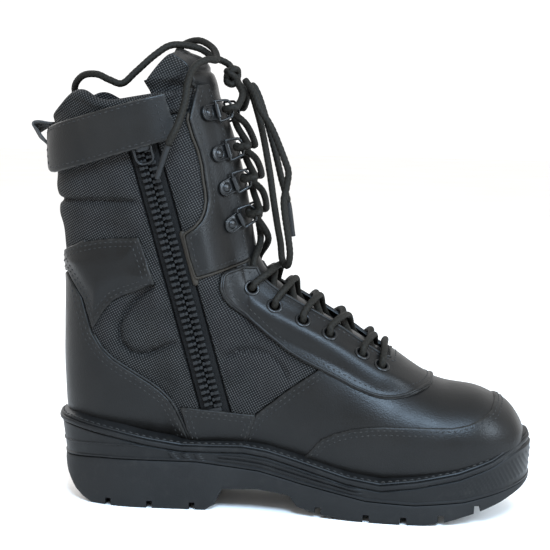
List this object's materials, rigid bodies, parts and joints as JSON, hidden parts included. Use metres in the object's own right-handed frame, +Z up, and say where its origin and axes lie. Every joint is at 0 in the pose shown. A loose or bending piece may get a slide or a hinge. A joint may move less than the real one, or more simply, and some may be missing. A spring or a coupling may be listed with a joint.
{
  "type": "fire boot",
  "caption": "Black left lace-up duty boot in leather and textile, with speed-lace rings, a side zip under a strap, padded ankle and lugged rubber sole.",
  "frame": {"origin": "centre of the box round the boot, without its free lace ends, at the level of the tread", "axes": "+X towards the toe, +Y towards the outer side of this left boot, +Z up the shaft"},
  "size_m": [0.327, 0.1155, 0.3039],
  "materials": {
    "leather": "black full-grain leather, satin",
    "textile": "coarse black nylon weave",
    "rubber": "matte moulded rubber",
    "lining": "soft knitted lining",
    "board": "fibre board",
    "steel": "plain",
    "black_metal": "black, satin",
    "zip_teeth": "moulded, satin",
    "lace": "round ribbed braid",
    "webbing": "woven tape"
  },
  "bodies": {
    "boot": {"outsole": "rubber", "midsole": "rubber", "shank": "steel", "insole_board": "board", "footbed": "lining", "lining": "lining", "heel_stiffener": "board", "toe_cap": "leather", "vamp": "leather", "eyestay": "leather", "tongue": "leather", "shaft_fabric": "textile", "quarter_medial": "textile", "heel_counter": "leather", "ankle_patch": "leather", "facing_medial": "leather", "facing_lateral": "leather", "lower_patch_medial": "leather", "lower_patch_lateral": "leather", "collar": "lining", "pull_loop": "webbing", "zip_tape_rear": "webbing", "zip_tape_front": "webbing", "zip_teeth_rear": "zip_teeth", "zip_teeth_front": "zip_teeth", "strap_loop_patch": "webbing", "eyelet_medial_1": "black_metal", "eyelet_lateral_1": "black_metal", "eyelet_medial_2": "black_metal", "eyelet_lateral_2": "black_metal", "eyelet_medial_3": "black_metal", "eyelet_lateral_3": "black_metal", "eyelet_medial_4": "black_metal", "eyelet_lateral_4": "black_metal", "eyelet_medial_5": "black_metal", "eyelet_lateral_5": "black_metal", "eyelet_medial_6": "black_metal", "eyelet_lateral_6": "black_metal", "clip_medial_1": "black_metal", "clip_lateral_1": "black_metal", "clip_medial_2": "black_metal", "clip_lateral_2": "black_metal", "clip_medial_3": "black_metal", "clip_lateral_3": "black_metal", "clip_medial_4": "black_metal", "clip_lateral_4": "black_metal", "lace": "lace", "lace_front": "lace", "lace_rear": "lace"},
    "slider": {"zip_slider": "black_metal"},
    "pull": {"zip_pull": "black_metal"},
    "strap_flap": {"strap": "leather"},
    "ring_medial_1": {"ring_medial_1": "black_metal"},
    "ring_lateral_1": {"ring_lateral_1": "black_metal"},
    "ring_medial_2": {"ring_medial_2": "black_metal"},
    "ring_lateral_2": {"ring_lateral_2": "black_metal"},
    "ring_medial_3": {"ring_medial_3": "black_metal"},
    "ring_lateral_3": {"ring_lateral_3": "black_metal"},
    "ring_medial_4": {"ring_medial_4": "black_metal"},
    "ring_lateral_4": {"ring_lateral_4": "black_metal"}
  },
  "joints": [
    {"name": "zip_slide", "type": "slide", "parent": "boot", "child": "slider", "axis": [0.2742, 0.0316, -0.9611], "range_m": [0, 0.15]},
    {"name": "zip_pull_swing", "type": "hinge", "parent": "slider", "child": "pull", "pos_m": [-0.08468, -0.04894, 0.23312], "axis": [-0.9616, 0, -0.2744], "range_deg": [0, 12]},
    {"name": "strap_hinge", "type": "hinge", "parent": "boot", "child": "strap_flap", "pos_m": [-0.06603, -0.0475, 0.24734], "axis": [-0.299, -0.0503, 0.9529], "range_deg": [0, 35]},
    {"name": "ring_medial_1_swing", "type": "hinge", "parent": "boot", "child": "ring_medial_1", "pos_m": [-0.0245, -0.02049, 0.1832], "axis": [0.4023, 0.2997, -0.8651], "range_deg": [-5, 0.5]},
    {"name": "ring_lateral_1_swing", "type": "hinge", "parent": "boot", "child": "ring_lateral_1", "pos_m": [-0.02407, 0.01849, 0.18352], "axis": [-0.3864, 0.2988, 0.8726], "range_deg": [-5, 0.5]},
    {"name": "ring_medial_2_swing", "type": "hinge", "parent": "boot", "child": "ring_medial_2", "pos_m": [-0.02829, -0.02136, 0.20541], "axis": [0.3531, 0.2035, -0.9132], "range_deg": [-5, 0.5]},
    {"name": "ring_lateral_2_swing", "type": "hinge", "parent": "boot", "child": "ring_lateral_2", "pos_m": [-0.02783, 0.01929, 0.20568], "axis": [-0.3395, 0.2001, 0.9191], "range_deg": [-5, 0.5]},
    {"name": "ring_medial_3_swing", "type": "hinge", "parent": "boot", "child": "ring_medial_3", "pos_m": [-0.03327, -0.02204, 0.22658], "axis": [0.2918, 0.1012, -0.9511], "range_deg": [-5, 0.5]},
    {"name": "ring_lateral_3_swing", "type": "hinge", "parent": "boot", "child": "ring_lateral_3", "pos_m": [-0.03287, 0.0199, 0.22678], "axis": [-0.2983, 0.0919, 0.95], "range_deg": [-5, 0.5]},
    {"name": "ring_medial_4_swing", "type": "hinge", "parent": "boot", "child": "ring_medial_4", "pos_m": [-0.04016, -0.02278, 0.2504], "axis": [0.2812, -0.0335, -0.9591], "range_deg": [-5, 0.5]},
    {"name": "ring_lateral_4_swing", "type": "hinge", "parent": "boot", "child": "ring_lateral_4", "pos_m": [-0.04003, 0.02051, 0.25044], "axis": [-0.2853, -0.0349, 0.9578], "range_deg": [-5, 0.5]}
  ]
}
